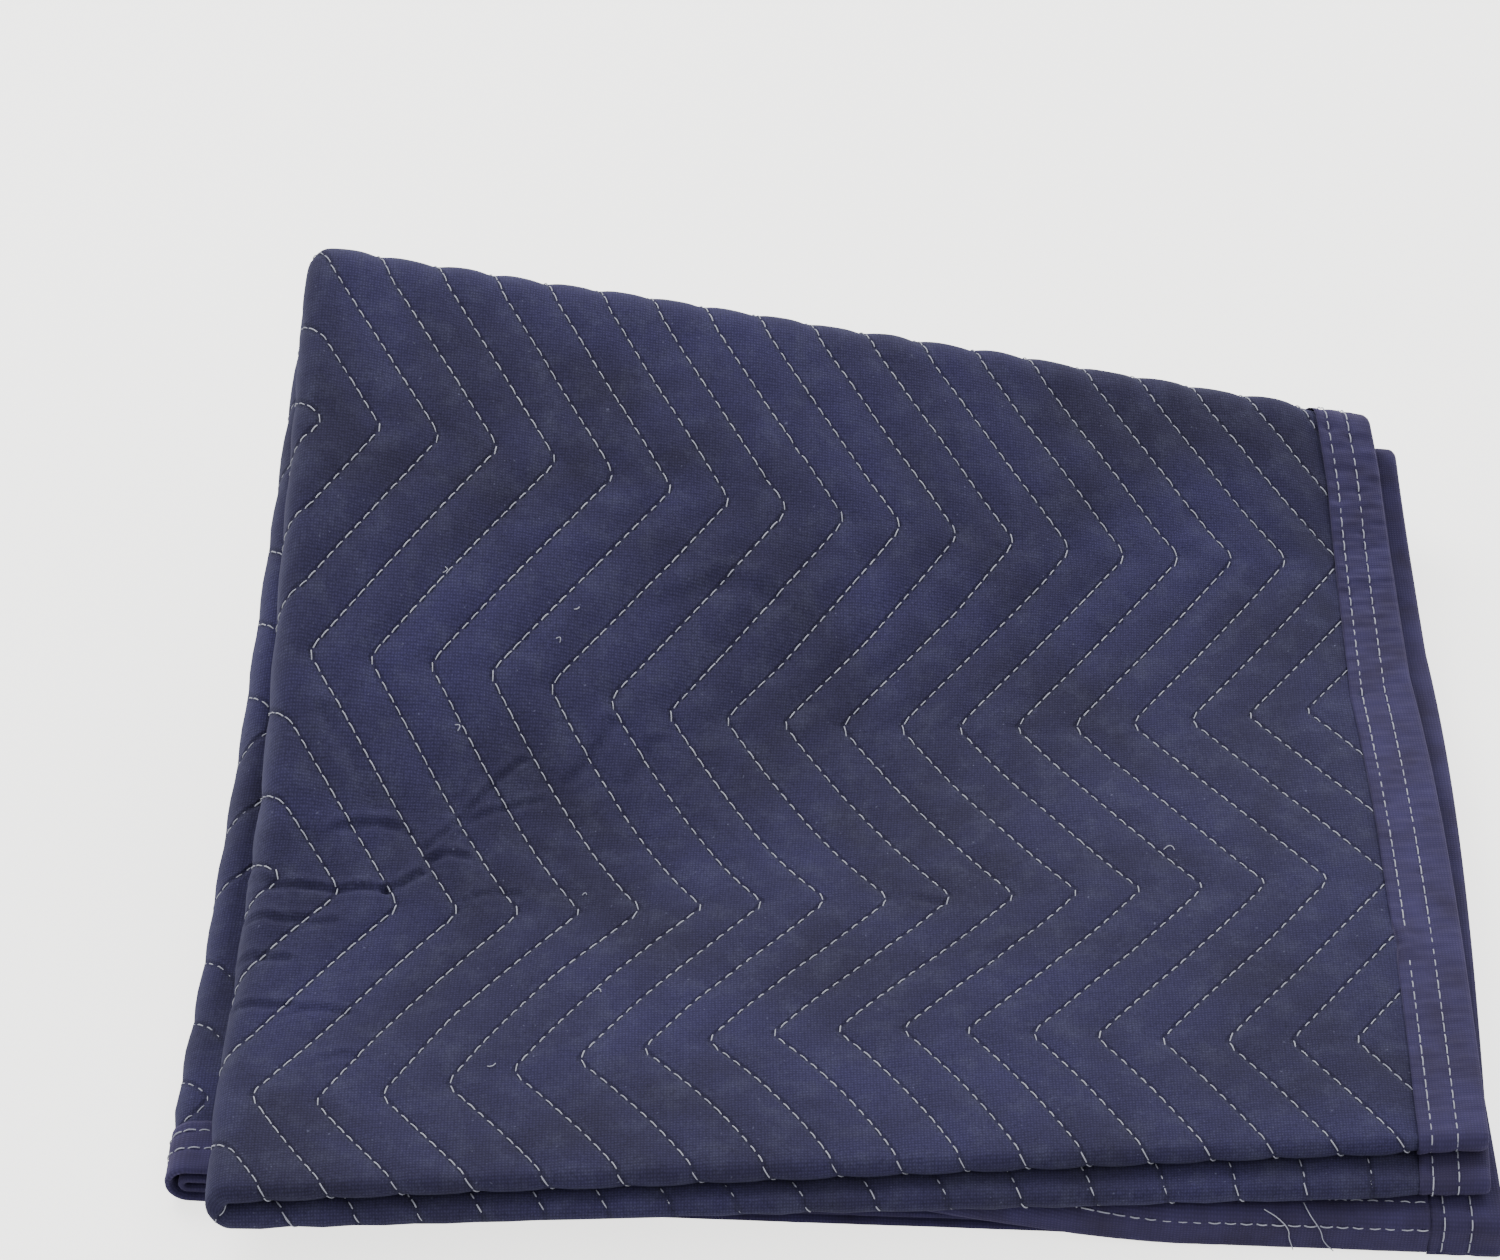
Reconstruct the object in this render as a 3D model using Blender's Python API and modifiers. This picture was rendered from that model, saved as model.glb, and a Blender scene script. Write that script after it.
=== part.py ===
# Moving blanket, quilted and bound, folded into eight layers with its back left corner raised.
# Units are metres, +Z up, +Y away from the folded front edge.
# The sheet is laid out flat in (u, v) and every point of it is carried through the same folds.
import math

import bmesh
import bpy
from mathutils import Vector

# Driving dimensions
folded_width = 0.502
folded_depth = 0.482
upper_depth = 0.467
layer_step = 0.0052
quilt_thickness = 0.0038
edge_thickness = 0.0015
binding_face = 0.028
binding_wall = 0.0008
binding_offset = 0.0015
edge_clearance = 0.0012
ramp_width = 0.008
butt_gap = 0.0003

# The raised corner: the upper layers bend up first, the lower ones further back and more steeply,
# and they close up again at the corner
crease_angle = 0.468
upper_crease = -0.048
lower_crease = 0.035
upper_rise = 0.512
lower_rise = 0.62
rise_length = 0.13

# The lower layers lie a little askew under the upper ones
lower_skew = -0.05
lower_back = 0.012
lower_left = 0.022
front_skew = 0.014
front_taper = 0.005
side_skew = -0.011
bow_out = 0.027
bow_back = 0.037
under_reach = 0.02
under_step = 0.004
under_front = 0.010

sheet_width = 2 * folded_width
fold_line = upper_depth + folded_depth
sheet_length = 2 * fold_line
front_arc = math.pi * layer_step / 4
side_arc = math.pi * layer_step / 2
back_radius = 2 * layer_step
back_arc = math.pi * back_radius
back_start = upper_depth - back_arc / 2
side_x = -folded_width / 2 + side_arc
group_height = 4 * layer_step
stack_shift = 0.018

# The part's origin sits on the flat underside, in front of the crease
origin = Vector((0.03, -0.12, layer_step / 2 - quilt_thickness / 2))


def folded_point(u, v, offset):
    """Where a point of the flat sheet lies in the folded stack, offset along the sheet's normal."""
    along = v - fold_line
    turn = math.pi * min(1, max(0, (front_arc - along) / (2 * front_arc)))
    run = max(abs(along) - front_arc, 0)
    ring = layer_step + (layer_step / 2 + offset) * math.cos(turn)
    run -= (layer_step / 2 + offset) * math.sin(turn)

    side = math.pi * min(1, max(0, (u - folded_width + side_arc) / (2 * side_arc)))
    if side <= 0:
        x = folded_width / 2 - u
    elif side >= math.pi:
        x = side_x + (u - folded_width - side_arc)
    else:
        x = side_x - ring * math.sin(side)
    height = ring * math.cos(side)

    back = math.pi * min(1, max(0, (run - back_start) / back_arc))
    lean = max(0, run - back_start - back_arc)
    if back <= 0:
        y = run
    elif lean <= 0:
        y = back_start + (back_radius + height) * math.sin(back)
    else:
        y = back_start - lean
    z = group_height + (back_radius + height) * math.cos(back)
    # The panel folded underneath reaches a little past the top one towards the back
    under = max(0, u - folded_width - side_arc) / folded_width
    depth = min(1, run / upper_depth)
    x += under_reach * under * depth * (1 - lean / folded_depth)
    # and, more so towards the bound side, past its front fold
    y -= (under_step * (1 - math.cos(side)) / 2 + under_front * under) * (1 - depth)
    return skewed(x, y - upper_depth / 2 + stack_shift, z, depth, lean / folded_depth)


def skewed(x, y, z, depth, lower):
    """The slow skews that show where the blanket wasn't folded quite square."""
    across = x / (folded_width / 2)
    keep = 1 - lower
    x += side_skew * depth * keep - lower_left * lower * (1 - across) / 2
    y += front_skew * across * (1 - depth) * keep
    x -= front_taper * (1 - depth) * keep * (1 + across) / 2
    # The bound side bows out in the middle and draws in at the back
    x += (bow_out * depth - bow_back * depth**3) * keep**2 * ((1 + across) / 2) ** 2
    y += lower * (lower_skew * x + lower_back)
    return raised(Vector((x, y, z)))


def raised(point):
    """Bends each layer up behind its own crease, first round an arc and then straight."""
    normal = Vector((-math.sin(crease_angle), math.cos(crease_angle), 0))
    level = point.z / (8 * layer_step)
    distance = point.dot(normal) - lower_crease - (upper_crease - lower_crease) * level
    if distance <= 0:
        return point - origin
    rise = lower_rise + (upper_rise - lower_rise) * level
    radius = rise_length / rise
    angle = min(distance, rise_length) / radius
    beyond = max(distance - rise_length, 0)
    along = radius * math.sin(angle) + beyond * math.cos(rise) - point.z * math.sin(angle)
    height = radius * (1 - math.cos(angle)) + beyond * math.sin(rise)
    height += point.z * math.cos(angle)
    bent = point + normal * (along - distance)
    bent.z = height
    return bent - origin


def spread(stops):
    """Grid lines from (value, cells up to the next value) pairs."""
    lines = []
    for (start, cells), (end, _) in zip(stops, stops[1:]):
        lines += [start + (end - start) * k / cells for k in range(cells)]
    return lines + [stops[-1][0]]


def cloth_material(name, color, roughness):
    material = bpy.data.materials.new(name)
    material.use_nodes = True
    shader = material.node_tree.nodes["Principled BSDF"]
    shader.inputs["Base Color"].default_value = color
    shader.inputs["Roughness"].default_value = roughness
    shader.inputs["Metallic"].default_value = 0.0
    return material


def mapped_grid(name, first, second, place, material, collection):
    """A grid primitive whose rows and columns are moved onto the sheet's own lines."""
    mesh = bpy.data.meshes.new(name)
    grid = bmesh.new()
    bmesh.ops.create_grid(grid, x_segments=len(first) - 1, y_segments=len(second) - 1, size=0.5)
    columns = len(first) - 1
    rows = len(second) - 1
    thin = grid.verts.layers.deform.verify()
    for vert in grid.verts:
        i = round((vert.co.x + 0.5) * columns)
        j = round((vert.co.y + 0.5) * rows)
        vert.co, weight = place(first[i], second[j])
        vert[thin][0] = weight
    # Every layer is split along the same diagonal, so that neighbours bend alike
    for face in list(grid.faces):
        low = min(face.verts, key=lambda vert: vert.co.x + vert.co.y)
        high = max(face.verts, key=lambda vert: vert.co.x + vert.co.y)
        shared = any(low in edge.verts and high in edge.verts for edge in face.edges)
        if not shared:
            bmesh.utils.face_split(face, low, high)
    grid.to_mesh(mesh)
    grid.free()
    mesh.shade_smooth()
    mesh.materials.append(material)
    piece = bpy.data.objects.new(name, mesh)
    piece.vertex_groups.new(name="thickness")
    collection.objects.link(piece)
    return piece


def thickened(piece, thickness, least=1.0):
    solid = piece.modifiers.new("Solidify", "SOLIDIFY")
    solid.thickness = thickness
    solid.offset = 0
    solid.use_even_offset = True
    solid.use_rim = True
    solid.vertex_group = "thickness"
    solid.thickness_vertex_group = least
    return piece


def quilt_place(u, v):
    inset = min(u, sheet_width - u, v, sheet_length - v) - binding_face - butt_gap
    weight = min(1, max(0, inset / ramp_width))
    return folded_point(u, v, 0), weight


def section_place(position, distance, edge):
    """One corner of a binding's U section: the strip's long way is position."""
    inward, offset = distance
    if edge == "long_1":
        return folded_point(inward, position, offset), 1.0
    if edge == "long_2":
        return folded_point(sheet_width - inward, position, offset), 1.0
    if edge == "short_1":
        return folded_point(position, inward, offset), 1.0
    return folded_point(position, sheet_length - inward, offset), 1.0


for item in list(bpy.data.objects):
    bpy.data.objects.remove(item, do_unlink=True)

collection = bpy.data.collections.new("moving_blanket")
bpy.context.scene.collection.children.link(collection)
shell = cloth_material("shell", (0.042, 0.045, 0.117, 1), 0.95)
edging = cloth_material("binding", (0.060, 0.051, 0.144, 1), 0.85)

inner = binding_face + butt_gap
ramp_end = inner + ramp_width
middle = folded_width
across_lines = spread(
    [
        (edge_clearance, 1),
        (inner, 1),
        (ramp_end, 8),
        (middle - side_arc, 8),
        (middle + side_arc, 8),
        (sheet_width - ramp_end, 1),
        (sheet_width - inner, 1),
        (sheet_width - edge_clearance, 0),
    ]
)
# Lines across the panels stand one above the other, so that the layers bend alike behind the crease
hem = front_arc + edge_clearance
hem_inner = hem - edge_clearance + inner
panel_lines = spread([(0.0, 1), (hem, 1), (hem_inner, 1), (hem_inner + ramp_width, 9), (back_start, 0)])
upper_runs = panel_lines + spread([(back_start, 10), (back_start + back_arc, 0)])[1:]
# The lower layers reach further forward, and their hem with them
hem_shift = folded_depth - upper_depth
lower_lines = [y - hem_shift for y in panel_lines[1:4]] + panel_lines[3:-1]
lower_runs = [2 * back_start + back_arc - y for y in reversed(lower_lines)]
centre = fold_line
half_lines = [front_arc + run for run in upper_runs + lower_runs]
front_lines = [front_arc * (k / 4 - 1) for k in range(1, 8)]
along_lines = [centre - value for value in reversed(half_lines)]
along_lines += [centre + value for value in front_lines]
along_lines += [centre + value for value in half_lines]
quilt = mapped_grid("quilt", across_lines, along_lines, quilt_place, shell, collection)
thickened(quilt, quilt_thickness, edge_thickness / quilt_thickness)

# Each binding is folded over the edge, so its section is a U that holds the quilt's thin edge
section = [
    (binding_face, binding_offset),
    (binding_wall / 2, binding_offset),
    (binding_wall / 2, -binding_offset),
    (binding_face, -binding_offset),
]
long_lines = [0.0] + along_lines[1:-1] + [sheet_length]
short_start = binding_face + butt_gap
short_lines = [short_start] + across_lines[2:-2] + [sheet_width - short_start]
for edge, lines in (
    ("long_1", long_lines),
    ("long_2", long_lines),
    ("short_1", short_lines),
    ("short_2", short_lines),
):
    strip = mapped_grid(
        "binding_" + edge,
        lines,
        section,
        lambda position, corner, edge=edge: section_place(position, corner, edge),
        edging,
        collection,
    )
    thickened(strip, binding_wall)
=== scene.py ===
# Moving blanket, quilted in zigzag and bound with tape, folded with its back left corner raised.
# Metres throughout. The sheet is drawn flat in (u, v) and carried through its folds by one function.
import math

import bmesh
import bpy
import numpy as np
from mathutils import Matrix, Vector


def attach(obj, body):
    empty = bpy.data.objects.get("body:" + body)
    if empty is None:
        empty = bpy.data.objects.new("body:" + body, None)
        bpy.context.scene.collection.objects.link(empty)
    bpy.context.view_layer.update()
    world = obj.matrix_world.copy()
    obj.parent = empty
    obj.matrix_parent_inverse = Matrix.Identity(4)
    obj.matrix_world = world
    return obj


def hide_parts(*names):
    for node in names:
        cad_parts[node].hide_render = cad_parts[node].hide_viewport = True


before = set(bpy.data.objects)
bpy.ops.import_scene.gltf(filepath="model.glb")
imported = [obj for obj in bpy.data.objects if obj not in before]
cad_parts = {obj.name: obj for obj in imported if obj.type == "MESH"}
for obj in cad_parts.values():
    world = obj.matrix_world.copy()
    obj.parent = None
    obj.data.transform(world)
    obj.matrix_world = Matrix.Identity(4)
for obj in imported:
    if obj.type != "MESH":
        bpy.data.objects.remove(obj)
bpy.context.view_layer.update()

print("frame loaded")

# How the sheet is folded: in half, in half again at the left, and once more at the back
fold = {
    "width": 0.502,
    "depth": 0.482,
    "upperDepth": 0.467,
    "layerStep": 0.0052,
    "origin": (0.03, -0.12, 0.0007),
    "creaseAngle": 0.468,
    "creaseOffsets": (0.035, -0.048),
    "riseAngles": (0.62, 0.512),
    "riseLength": 0.13,
    "lowerSkew": -0.05,
    "lowerBack": 0.012,
    "lowerLeft": 0.022,
    "frontSkew": 0.014,
    "frontTaper": 0.005,
    "sideBow": (0.027, 0.037),
    "stackShift": 0.018,
    "sideSkew": -0.011,
    "underReach": 0.02,
    "underStep": 0.004,
    "underFront": 0.010,
    "hemReach": 0.018,
    "hemRadius": 0.004,
    "hemFrom": 0.45,
    "hemEase": 0.3,
    "hemLead": 0.001,
}
foldW, foldD, foldU = fold["width"], fold["depth"], fold["upperDepth"]
layerStep = fold["layerStep"]
foldLine = foldU + foldD
sheetWidth, sheetLength = 2 * foldW, 2 * foldLine
frontArc = math.pi * layerStep / 4
sideArc = math.pi * layerStep / 2
backRadius = 2 * layerStep
backArc = math.pi * backRadius
backStart = foldU - backArc / 2
leanEnd = foldD - frontArc - backArc / 2
foldNear = frontArc + backStart
foldFar = foldNear + backArc
topHemLevel = 3.5 * layerStep


def eased(share):
    share = np.clip(share, 0, 1)
    return share * share * (3 - 2 * share)


def bell(value, centre, width):
    return np.exp(-(((value - centre) / width) ** 2))


def foldedPoints(u, v, offset):
    # Where points of the flat sheet lie in the folded stack, offset from its middle along its normal
    u, v, offset = np.broadcast_arrays(*(np.asarray(a, float) for a in (u, v, offset)))
    along = v - foldLine
    turn = np.pi * np.clip((frontArc - along) / (2 * frontArc), 0, 1)
    ring = layerStep + (layerStep / 2 + offset) * np.cos(turn)
    run = np.maximum(np.abs(along) - frontArc, 0) - (layerStep / 2 + offset) * np.sin(turn)

    side = np.pi * np.clip((u - foldW + sideArc) / (2 * sideArc), 0, 1)
    sideX = -foldW / 2 + sideArc
    before = np.maximum(foldW - sideArc - u, 0)
    after = np.maximum(u - foldW - sideArc, 0)
    x = sideX + before + after - ring * np.sin(side)
    level = ring * np.cos(side)

    back = np.pi * np.clip((run - backStart) / backArc, 0, 1)
    lean = np.maximum(run - backStart - backArc, 0)
    # The right half of the lower stack's top hem slides forward and hangs over the hems beneath it
    over = eased((after / foldW - fold["hemFrom"]) / fold["hemEase"])
    lean = lean * (1 + fold["hemReach"] * over / leanEnd)
    y = np.minimum(run, backStart) - lean + (backRadius + level) * np.sin(back)
    y = y - foldU / 2 + fold["stackShift"]
    z = 4 * layerStep + (backRadius + level) * np.cos(back)
    beyond = np.where(over > 0, np.maximum(lean - leanEnd + fold["hemLead"] * over, 0), 0)
    hemTurn = np.minimum(beyond / fold["hemRadius"], math.pi / 2)
    aboveMiddle = z - topHemLevel
    hanging = np.maximum(beyond - fold["hemRadius"] * math.pi / 2, 0)
    y = y + beyond - np.where(beyond > 0, (fold["hemRadius"] + aboveMiddle) * np.sin(hemTurn), 0)
    z = z - (fold["hemRadius"] + aboveMiddle) * (1 - np.cos(hemTurn)) - hanging

    lower = lean / foldD
    depth = np.minimum(run / foldU, 1)
    x = x + fold["underReach"] * after / foldW * depth * (1 - lower)
    forward = fold["underStep"] * (1 - np.cos(side)) / 2 + fold["underFront"] * after / foldW
    y = y - forward * (1 - depth)
    across = x / (foldW / 2)
    x = x + fold["sideSkew"] * depth * (1 - lower) - fold["lowerLeft"] * lower * (1 - across) / 2
    y = y + fold["frontSkew"] * across * (1 - depth) * (1 - lower)
    x = x - fold["frontTaper"] * (1 - depth) * (1 - lower) * (1 + across) / 2
    bowOut, bowBack = fold["sideBow"]
    x = x + (bowOut * depth - bowBack * depth**3) * (1 - lower) ** 2 * ((1 + across) / 2) ** 2
    y = y + lower * (fold["lowerSkew"] * x + fold["lowerBack"])

    # Behind its crease each layer bends up, first round an arc and then straight
    nx, ny = -math.sin(fold["creaseAngle"]), math.cos(fold["creaseAngle"])
    height = z / (8 * layerStep)
    creaseLow, creaseHigh = fold["creaseOffsets"]
    riseLow, riseHigh = fold["riseAngles"]
    distance = x * nx + y * ny - creaseLow - (creaseHigh - creaseLow) * height
    rise = riseLow + (riseHigh - riseLow) * height
    radius = fold["riseLength"] / rise
    angle = np.clip(distance, 0, fold["riseLength"]) / radius
    beyond = np.maximum(distance - fold["riseLength"], 0)
    bent = distance > 0
    ahead = radius * np.sin(angle) + beyond * np.cos(rise) - z * np.sin(angle)
    up = radius * (1 - np.cos(angle)) + beyond * np.sin(rise) + z * np.cos(angle)
    push = np.where(bent, ahead - distance, 0)
    x = x + nx * push
    y = y + ny * push
    z = np.where(bent, up, z)
    return np.stack([x, y, z], -1) - np.array(fold["origin"])


def lines(*stops):
    # Grid lines from (value, spacing up to the next value) pairs, the last value closing them
    values = []
    for (start, step), (end, _) in zip(stops, stops[1:]):
        count = max(1, round((end - start) / step))
        values += [start + (end - start) * k / count for k in range(count)]
    return np.array(values + [stops[-1][0]])


def newPiece(name, points, faces, flat=None):
    # A mesh object at the origin, with coordinates on the sheet as its UV map
    mesh = bpy.data.meshes.new(name)
    mesh.from_pydata(points.tolist(), [], faces)
    if flat is not None:
        uvLayer = mesh.uv_layers.new(name="cloth")
        corners = np.empty(len(mesh.loops), np.int32)
        mesh.loops.foreach_get("vertex_index", corners)
        uvLayer.data.foreach_set("uv", flat[corners].astype(np.float32).ravel())
    mesh.update()
    piece = bpy.data.objects.new(name, mesh)
    bpy.context.scene.collection.objects.link(piece)
    tidy = bmesh.new()
    tidy.from_mesh(mesh)
    bmesh.ops.recalc_face_normals(tidy, faces=tidy.faces)
    tidy.to_mesh(mesh)
    tidy.free()
    mesh.shade_smooth()
    return piece


# The binding: woven tape folded over the edge and sewn down with two rows
binding = {
    "face": 0.028,
    "half": 0.0019,
    "turn": 0.0196,
    "rows": (0.0128, 0.0230),
    "dimple": 0.0005,
    "tuck": 0.116,
    "tuckReach": 0.009,
    "tuckDepth": 0.0042,
    "tuckEase": 0.008,
    "tuckRise": 0.0007,
    "notchHeight": 0.0012,
    "notchPlace": 0.031,
    "notchReach": 0.006,
    "join": 0.362,
    "joinStep": 0.00035,
    "joinReach": 0.005,
    "dimpleReach": 0.0016,
    "edgeGap": 0.0003,
}
bodyEdge = binding["face"] + binding["edgeGap"]

# The quilting: parallel zigzag lines that run from the front of the sheet to its back
quilting = {
    "pitch": 0.0259,
    "halfPeriod": 0.1057,
    "reach": 0.0735,
    "firstLine": 0.0110,
    "frontVertex": 0.0498,
    "vertexRound": 0.9988,
    "puff": 0.0006,
    "valley": 0.0004,
    "valleyWidth": 0.0036,
    "channelShare": 0.41,
    "edgeHalf": 0.0008,
    "bodyHalf": 0.0017,
    "bodyRamp": 0.012,
    "rim": 0.0015,
    "topLift": 0.0006,
    "hiddenPadding": 0.4,
    "outerFace": 0.0019,
}

# The stitching: real length and shown length of a stitch, and how far it stands off the cloth
stitching = {
    "length": 0.0062,
    "shown": 0.0047,
    "thickness": 0.00057,
    "lift": 0.00035,
    "normalStep": 0.0004,
    "pathStep": 0.0021,
    "foldStep": 0.0010,
    "clearOfTape": 0.0290,
    "clearOfEnd": 0.030,
    "tapeEnd": 0.004,
    "openAtTuck": (-0.012, 0.011),
}

# How the rows of zigzag corners stray from level. Rows are (distance from the front fold, reach), and bells
# are (height, place across the top panel from -1 at the left to 1 at the right, width)
rowStray = {
    "frontRow": (0.045, 0.09),
    "frontRise": 0.0084,
    "frontTilt": 0.0174,
    "frontWave": (0.0116, 3.4),
    "frontCorner": (0.010, -1, 0.12),
    "frontStep": (0.0072, 0.15, 0.25),
    "secondRow": (0.150, 0.05),
    "secondCorner": (0.014, -1, 0.2),
    "secondMiddle": (0.0075, 0, math.sqrt(0.35)),
    "farRows": (0.155, 0.12),
    "farRise": 0.007,
    "farLeft": (0.008, -0.68, 0.34),
    "bow": 0.010,
    "drop": 0.011,
}


def scaledBell(value, height, centre, width):
    return height * bell(value, centre, width)


def wander(u, v):
    # The rows of corners aren't quite level across the sheet
    r = rowStray
    across = 1 - 2 * u / foldW
    run = np.abs(v - foldLine)
    near = bell(run, *r["frontRow"])
    farStart, farReach = r["farRows"]
    far = np.clip((run - farStart) / farReach, 0, 1)
    waveHeight, waveNumber = r["frontWave"]
    stepHeight, stepPlace, stepWidth = r["frontStep"]
    front = r["frontRise"] + r["frontTilt"] * across + waveHeight * np.cos(waveNumber * across)
    front += scaledBell(across, *r["frontCorner"]) - stepHeight * np.tanh((across - stepPlace) / stepWidth)
    second = scaledBell(across, *r["secondCorner"]) - scaledBell(across, *r["secondMiddle"])
    rise = r["farRise"] + scaledBell(across, *r["farLeft"])
    level = near * front + (1 - near) * (r["bow"] * across**2 + rise * far - r["drop"])
    return level + second * bell(run, *r["secondRow"])


def zigzag(u, v):
    # How far a line has strayed sideways at v
    q = quilting
    phase = (v - foldLine - frontArc - q["frontVertex"] - wander(u, v)) / q["halfPeriod"]
    wave = np.arcsin(q["vertexRound"] * np.cos(np.pi * phase)) / math.asin(q["vertexRound"])
    return q["reach"] / 2 * wave


def lineDistance(u, v):
    # Distance on the flat sheet to the nearest quilting line
    q = quilting
    place = (u - q["firstLine"] - zigzag(u, v)) / q["pitch"]
    slope = math.hypot(q["halfPeriod"], q["reach"]) / q["halfPeriod"]
    return np.abs(place - np.round(place)) * q["pitch"] / slope


# Creases pressed into the top panel, where the photograph shows them
# Columns: (u, distance from the front fold) points, depth, width
creases = [
    (((0.500, 0.174), (0.494, 0.166), (0.484, 0.166), (0.467, 0.164), (0.456, 0.165), (0.446, 0.164)),
     0.0011, 0.0016),
    (((0.446, 0.164), (0.438, 0.168), (0.432, 0.173)), 0.0010, 0.0016),
    (((0.432, 0.175), (0.432, 0.186), (0.418, 0.202), (0.406, 0.222), (0.395, 0.235)), 0.0006, 0.0015),
    (((0.432, 0.173), (0.413, 0.203), (0.398, 0.210), (0.384, 0.214)), 0.0005, 0.0018),
    (((0.374, 0.224), (0.368, 0.234), (0.361, 0.248), (0.358, 0.258)), 0.0009, 0.0016),
    (((0.497, 0.150), (0.488, 0.148), (0.478, 0.149)), 0.0009, 0.0016),
    (((0.475, 0.146), (0.466, 0.147)), 0.0006, 0.0018),
    (((0.499, 0.130), (0.490, 0.128), (0.483, 0.127)), 0.0009, 0.0018),
    (((0.497, 0.102), (0.487, 0.101), (0.478, 0.101)), 0.0009, 0.0018),
    (((0.477, 0.097), (0.468, 0.098), (0.454, 0.095)), 0.0008, 0.0020),
    (((0.461, 0.067), (0.454, 0.069), (0.448, 0.068)), 0.0008, 0.0018),
    (((0.429, 0.181), (0.421, 0.184), (0.413, 0.182)), 0.0008, 0.0018),
    (((0.470, 0.196), (0.455, 0.199), (0.444, 0.197)), 0.0007, 0.0022),
    (((0.222, 0.149), (0.215, 0.147), (0.209, 0.145)), 0.0007, 0.0018),
    (((0.098, 0.397), (0.102, 0.384)), 0.0007, 0.0024),
    (((0.277, 0.426), (0.279, 0.397)), 0.0008, 0.0024),
    (((0.293, 0.386), (0.297, 0.355)), 0.0008, 0.0024),
    (((0.480, 0.247), (0.462, 0.221), (0.455, 0.207)), 0.0008, 0.0036),
    (((0.340, 0.315), (0.310, 0.330), (0.290, 0.325)), 0.0006, 0.0040),
    (((0.350, 0.222), (0.342, 0.236), (0.338, 0.247)), 0.0006, 0.0022),
    (((0.407, 0.160), (0.396, 0.163), (0.388, 0.160)), 0.0005, 0.0020),
]
# The ridge beside a trough, in the trough's own width and depth
ridgePlace, ridgeWidth, ridgeHeight, ridgeLean = 1.9, 1.2, 0.35, 0.25


def creaseOffset(u, v):
    # A trough along each crease with a low ridge beside it, higher on one side
    total = np.zeros(np.shape(u))
    run = v - foldLine
    for path, depth, width in creases:
        nearest = np.full(np.shape(u), 1.0)
        signed = np.zeros(np.shape(u))
        for (u0, r0), (u1, r1) in zip(path, path[1:]):
            du, dr = u1 - u0, r1 - r0
            share = np.clip(((u - u0) * du + (run - r0) * dr) / (du * du + dr * dr), 0, 1)
            d = np.hypot(u - u0 - share * du, run - r0 - share * dr)
            side = np.sign((u - u0) * dr - (run - r0) * du)
            signed = np.where(d < nearest, side, signed)
            nearest = np.minimum(nearest, d)
        ridge = bell(nearest, ridgePlace * width, ridgeWidth * width) * (ridgeHeight + ridgeLean * signed)
        total += depth * (ridge - bell(nearest, 0, width))
    return total


def notchLift(u, v):
    # The panel puffs up where the binding's inner edge was sewn with a tuck
    b = binding
    beside = bell(u, b["notchPlace"], b["notchReach"])
    return b["notchHeight"] * beside * bell(v - foldLine, b["tuck"], b["tuckReach"])


def bodyShare(u, v):
    # 0 under the binding, rising to 1 past it
    inset = np.minimum(np.minimum(u, sheetWidth - u), np.minimum(v, sheetLength - v))
    return np.clip((inset - bodyEdge) / quilting["bodyRamp"], 0, 1)


def sheetHalf(u, v):
    # Half the padded thickness: thin under the binding, dimpled along the stitching
    q = quilting
    d = lineDistance(u, v)
    puff = q["puff"] * np.sin(np.clip(d / (q["pitch"] * q["channelShare"]), 0, 1) * math.pi / 2)
    body = q["bodyHalf"] + puff - q["valley"] * bell(d, 0, q["valleyWidth"])
    return q["edgeHalf"] + (body - q["edgeHalf"]) * eased(bodyShare(u, v))


# Unevenness of the batting, as three crossed waves that are bent by one another
# Columns: height, then for u and for v the wave number, the bend and the bend's own wave number
battingWaves = (
    (0.00060, (17, 3, 8), (14, 2, 7)),
    (0.00030, (37, 11, 9), (29, 7, 13)),
    (0.00016, (118, 5, 41), (131, 4, 53)),
)
pucker = {"height": 0.00008, "reach": 0.006, "bend": 3, "bendNumber": 31}


def padding(u, v):
    # Soft unevenness of the batting and small puckers beside the stitches, one to a stitch
    total = 0
    for height, (numberU, bendU, crossU), (numberV, bendV, crossV) in battingWaves:
        waveU = np.sin(numberU * u + bendU * np.sin(crossU * v))
        waveV = np.sin(numberV * v + bendV * np.sin(crossV * u))
        total = total + height * (waveU * waveV)
    stitches = v * 2 * math.pi / stitching["length"]
    puckers = np.sin(stitches + pucker["bend"] * np.sin(pucker["bendNumber"] * u))
    return total + pucker["height"] * (puckers * bell(lineDistance(u, v), 0, pucker["reach"]))


# How far the panels' changes reach past the folds
frontBlend, backBlend, sideBlend = 0.01, 0.02, 0.005
liftFrom, liftReach = 0.03, 0.02
# The most that cloth and thread stand out from the lowest panel's middle, so that they stay above the floor
pressedCloth, pressedThread = 0.0014, 0.0015


def topShare(u, v):
    # 1 on the panel that lies uppermost, 0 elsewhere
    inV = np.clip((v - foldLine) / frontBlend, 0, 1) * np.clip((foldLine + foldD - v) / backBlend, 0, 1)
    inU = np.clip((foldW + sideBlend - u) / (2 * sideBlend), 0, 1)
    return inV * inU


def resting(u, v, offset, most):
    # The lowest panel is pressed flat by the floor
    return np.where((v > foldLine + foldD) & (u < foldW), np.minimum(offset, most), offset)


def outerOffset(u, v):
    # How far the outer face stands out from the sheet's middle
    top = topShare(u, v)
    hiddenShare = quilting["hiddenPadding"]
    offset = sheetHalf(u, v) + padding(u, v) * (hiddenShare + (1 - hiddenShare) * top)
    lift = top * np.clip((u - liftFrom) / liftReach, 0, 1)
    offset = offset + quilting["topLift"] * lift + (creaseOffset(u, v) + notchLift(u, v)) * top
    return resting(u, v, offset, pressedCloth)


def surfaceDistance(u, v):
    # Distance along the outer face through a row of points, so that the weave keeps its size round the folds
    steps = np.linalg.norm(np.diff(foldedPoints(u, v, quilting["outerFace"]), axis=0), axis=1)
    return np.concatenate([[0], np.cumsum(steps)])


def sheetPlaces(first, second):
    # Every pair of grid values as one row each
    return np.stack(np.meshgrid(first, second, indexing="ij"), -1).reshape(-1, 2)


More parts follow.
